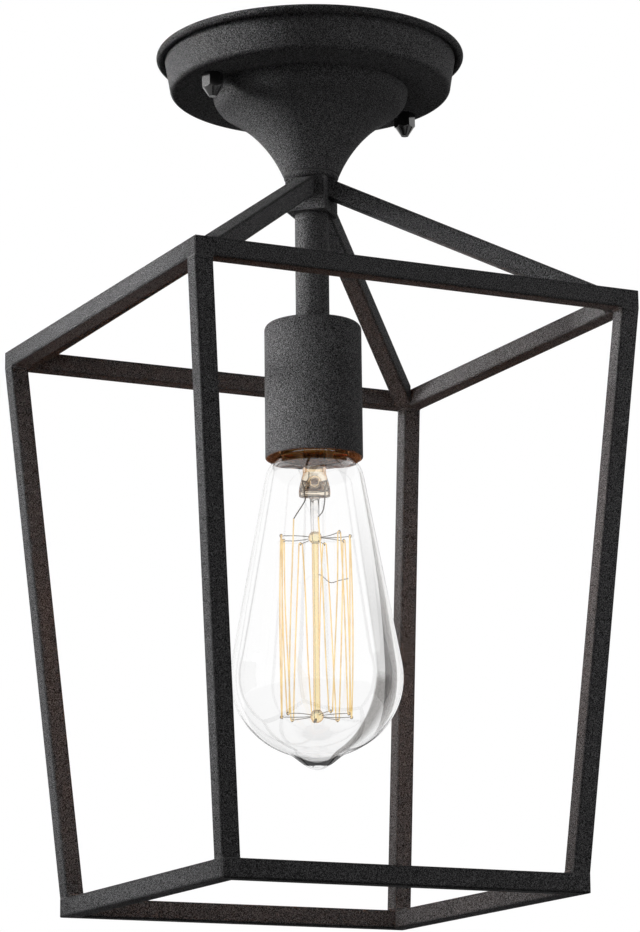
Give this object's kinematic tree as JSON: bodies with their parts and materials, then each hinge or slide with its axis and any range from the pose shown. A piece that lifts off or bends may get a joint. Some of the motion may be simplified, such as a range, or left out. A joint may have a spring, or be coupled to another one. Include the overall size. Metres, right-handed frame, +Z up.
{
  "type": "porch ceiling lantern",
  "caption": "Matt black ceiling lantern: round canopy with a flared neck, short stem and socket cup with a clear filament bulb, in an open square cage that tapers downwards",
  "frame": {"origin": "centre of the mounting crossbar's top face, where the lantern meets the ceiling", "axes": "+Z up along the stem into the ceiling; X and Y square to the cage's sides, the box screw slots lie along X; the cage's front side faces -Y"},
  "size_m": [0.178, 0.178, 0.3246],
  "materials": {
    "zinc_plate": "zinc-plated steel",
    "ground_screw": "green-plated steel",
    "ground_lead": "bare copper",
    "black_powder_coat": "matt black powder coat with a fine texture",
    "lampholder_body": "moulded phenolic",
    "screw_shell": "plain stamped brass",
    "centre_contact": "plain stamped brass",
    "line_lead": "black insulation",
    "neutral_lead": "white insulation",
    "lead_tips": "bare copper strands",
    "bulb_end_contact": "solder",
    "bulb_insulator": "black vitrite",
    "bulb_base": "rolled brass thread",
    "bulb_glass": "clear glass",
    "bulb_mount": "clear glass",
    "bulb_upper_supports": "molybdenum wire",
    "bulb_lower_supports": "molybdenum wire",
    "bulb_filament": "warm filament, not lit",
    "bulb_lead_wires": "nickel wire"
  },
  "bodies": {
    "fixture": {"mounting_crossbar": "zinc_plate", "canopy_studs": "zinc_plate", "stud_lock_nuts": "zinc_plate", "ground_screw": "ground_screw", "ground_lead": "ground_lead", "canopy_pan": "black_powder_coat", "canopy_bell": "black_powder_coat", "upper_nipple": "zinc_plate", "bell_washer": "zinc_plate", "bell_lock_nut": "zinc_plate", "cage_hub": "black_powder_coat", "roof_bar_front_right": "black_powder_coat", "roof_bar_back_right": "black_powder_coat", "roof_bar_back_left": "black_powder_coat", "roof_bar_front_left": "black_powder_coat", "top_rail_front": "black_powder_coat", "top_rail_right": "black_powder_coat", "top_rail_back": "black_powder_coat", "top_rail_left": "black_powder_coat", "post_front_right": "black_powder_coat", "post_back_right": "black_powder_coat", "post_back_left": "black_powder_coat", "post_front_left": "black_powder_coat", "bottom_rail_front": "black_powder_coat", "bottom_rail_right": "black_powder_coat", "bottom_rail_back": "black_powder_coat", "bottom_rail_left": "black_powder_coat", "stem_tube": "black_powder_coat", "lower_nipple": "zinc_plate", "socket_cup": "black_powder_coat", "cup_lock_nut": "zinc_plate", "lampholder_body": "lampholder_body", "screw_shell": "screw_shell", "centre_contact": "centre_contact", "line_lead": "line_lead", "neutral_lead": "neutral_lead", "lead_tips": "lead_tips"},
    "nut_left": {"left_cap_nut": "black_powder_coat"},
    "nut_right": {"right_cap_nut": "black_powder_coat"},
    "bulb_advance": {"bulb_end_contact": "bulb_end_contact"},
    "bulb": {"bulb_insulator": "bulb_insulator", "bulb_base": "bulb_base", "bulb_glass": "bulb_glass", "bulb_mount": "bulb_mount", "bulb_upper_supports": "bulb_upper_supports", "bulb_lower_supports": "bulb_lower_supports", "bulb_filament": "bulb_filament", "bulb_lead_wires": "bulb_lead_wires"}
  },
  "joints": [
    {"name": "left_nut_turn", "type": "hinge", "parent": "fixture", "child": "nut_left", "pos_m": [-0.04396, -0.00657, -0.0156], "axis": [0, 0, -1], "range_deg": [0, 2820]},
    {"name": "right_nut_turn", "type": "hinge", "parent": "fixture", "child": "nut_right", "pos_m": [0.04396, 0.00657, -0.0156], "axis": [0, 0, -1], "range_deg": [0, 2820]},
    {"name": "bulb_travel", "type": "slide", "parent": "fixture", "child": "bulb_advance", "axis": [0, 0, -1], "range_m": [0, 0.01815]},
    {"name": "bulb_screw", "type": "hinge", "parent": "bulb_advance", "child": "bulb", "pos_m": [0, 0, -0.13], "axis": [0, 0, -1], "range_deg": [0, 1800]}
  ],
  "couplings": [
    {"joint": "bulb_travel", "follows": "bulb_screw", "m_per_rad": 0.00057757}
  ]
}
